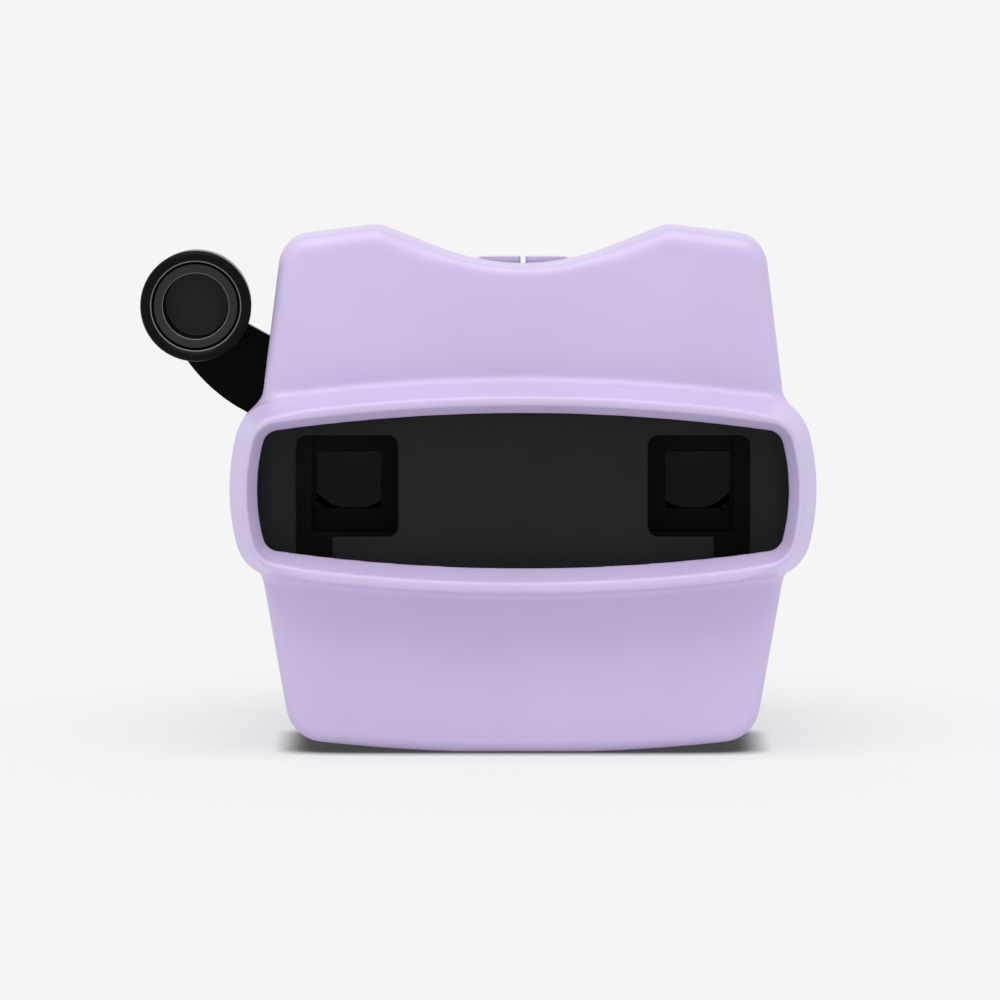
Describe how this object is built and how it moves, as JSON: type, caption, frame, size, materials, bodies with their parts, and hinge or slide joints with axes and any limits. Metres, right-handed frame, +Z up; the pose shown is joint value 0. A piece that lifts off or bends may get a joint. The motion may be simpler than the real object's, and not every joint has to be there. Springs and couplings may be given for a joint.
{
  "type": "stereo slide viewer",
  "caption": "Hand-held stereo viewer for round picture reels, with a lilac two-shell body, a dark light window, two eye sockets and a sprung side lever.",
  "frame": {"origin": "on the flat base, midway between the eyes, in the plane where the two shells meet", "axes": "+X to the right of someone who faces the light window, +Y from the light window towards the eyes, +Z up"},
  "size_m": [0.1215, 0.08, 0.0947],
  "materials": {
    "lilac_plastic": "satin lilac moulded plastic",
    "dark_plastic": "matt charcoal moulded plastic",
    "black_plastic": "satin black moulded plastic",
    "clear_lens": "clear moulded lens plastic",
    "screw_steel": "plain zinc-plated steel",
    "spring_steel": "bright spring steel"
  },
  "bodies": {
    "housing": {"front_shell": "lilac_plastic", "rear_shell": "lilac_plastic", "front_baffle": "dark_plastic", "reel_front_guide": "dark_plastic", "reel_gate": "dark_plastic", "light_tunnel_left": "dark_plastic", "light_tunnel_right": "dark_plastic", "lens_left": "clear_lens", "lens_right": "clear_lens", "pivot_screw": "screw_steel", "guide_screws": "screw_steel", "gate_screws": "screw_steel", "case_screws": "screw_steel", "reel_pressure_springs": "spring_steel", "lever_return_spring": "spring_steel"},
    "lever": {"advance_lever": "black_plastic", "lever_knob": "black_plastic", "claw_pin": "screw_steel", "claw_spring": "spring_steel"},
    "claw": {"reel_claw": "spring_steel"}
  },
  "joints": [
    {"name": "lever_swing", "type": "hinge", "parent": "housing", "child": "lever", "pos_m": [0, -0.0062, 0.048], "axis": [0, -1, 0], "range_deg": [0, 52], "stiffness_Nm_per_rad": 0.15, "springref_deg": -22.92, "deforming": ["lever_return_spring"]},
    {"name": "claw_tilt", "type": "hinge", "parent": "lever", "child": "claw", "pos_m": [-0.01635, -0.0088, 0.06272], "axis": [-0.6691, 0, -0.7431], "range_deg": [0, 6], "stiffness_Nm_per_rad": 0.02, "springref_deg": -11.46, "deforming": ["claw_spring"]}
  ]
}
